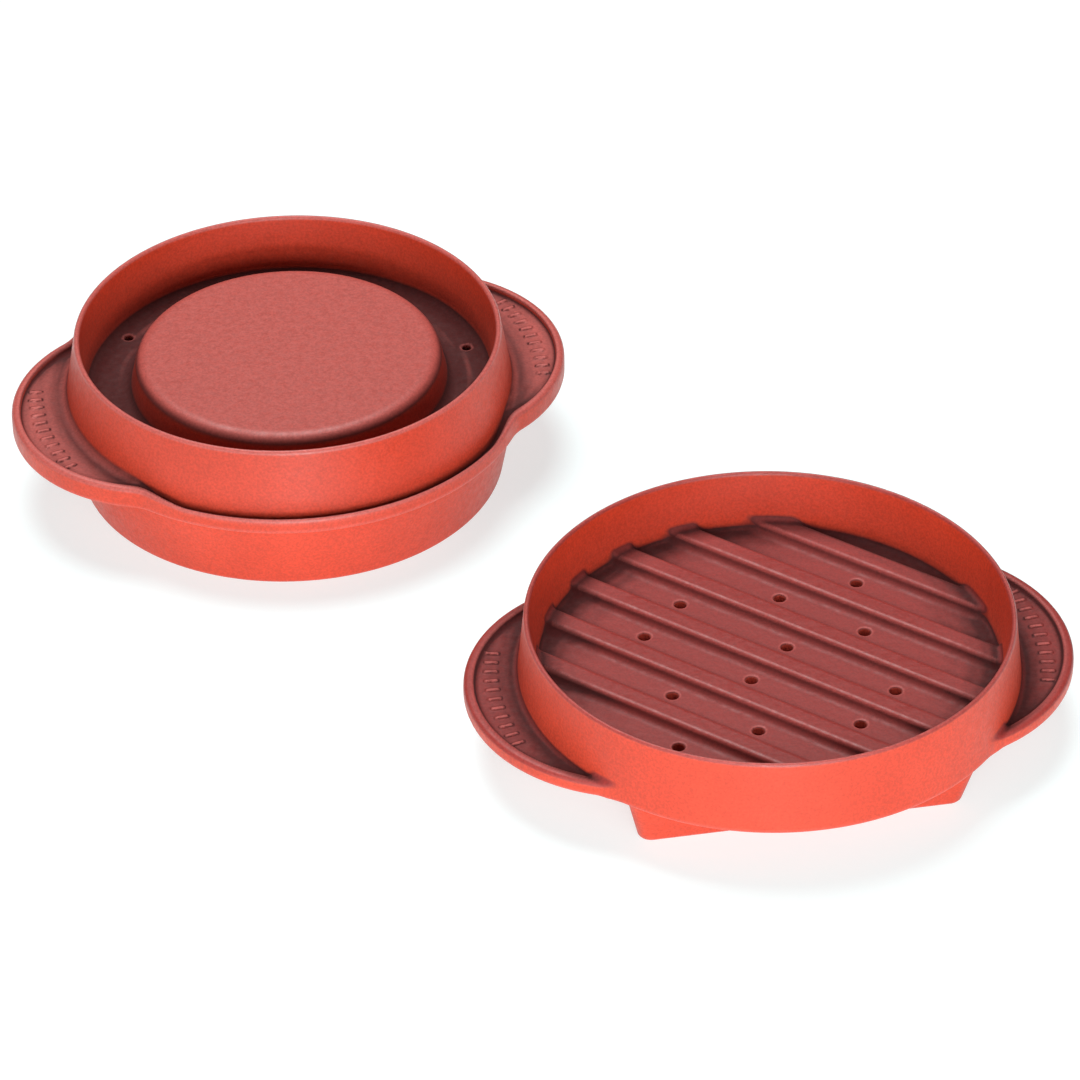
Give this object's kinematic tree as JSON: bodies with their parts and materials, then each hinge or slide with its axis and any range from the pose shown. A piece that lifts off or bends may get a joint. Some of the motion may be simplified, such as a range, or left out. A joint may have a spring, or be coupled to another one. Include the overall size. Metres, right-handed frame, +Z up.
{
  "type": "patty press",
  "caption": "Hand patty press in loose round halves: a press half with a boss over a round skirt, and a ridged mould half over a square skirt.",
  "frame": {"origin": "on the worktop, below the centre of the box round both halves", "axes": "+Z up, +X to the viewer's right, +Y away from the viewer"},
  "size_m": [0.2674, 0.2406, 0.041],
  "materials": {
    "red_coating": "satin"
  },
  "bodies": {
    "mould": {"mould_half": "red_coating"},
    "press": {"press_half": "red_coating"}
  },
  "joints": [
    {"name": "press_half_lift", "type": "slide", "parent": "mould", "child": "press", "axis": [0, 0, 1], "range_m": [0, 0.08]}
  ]
}
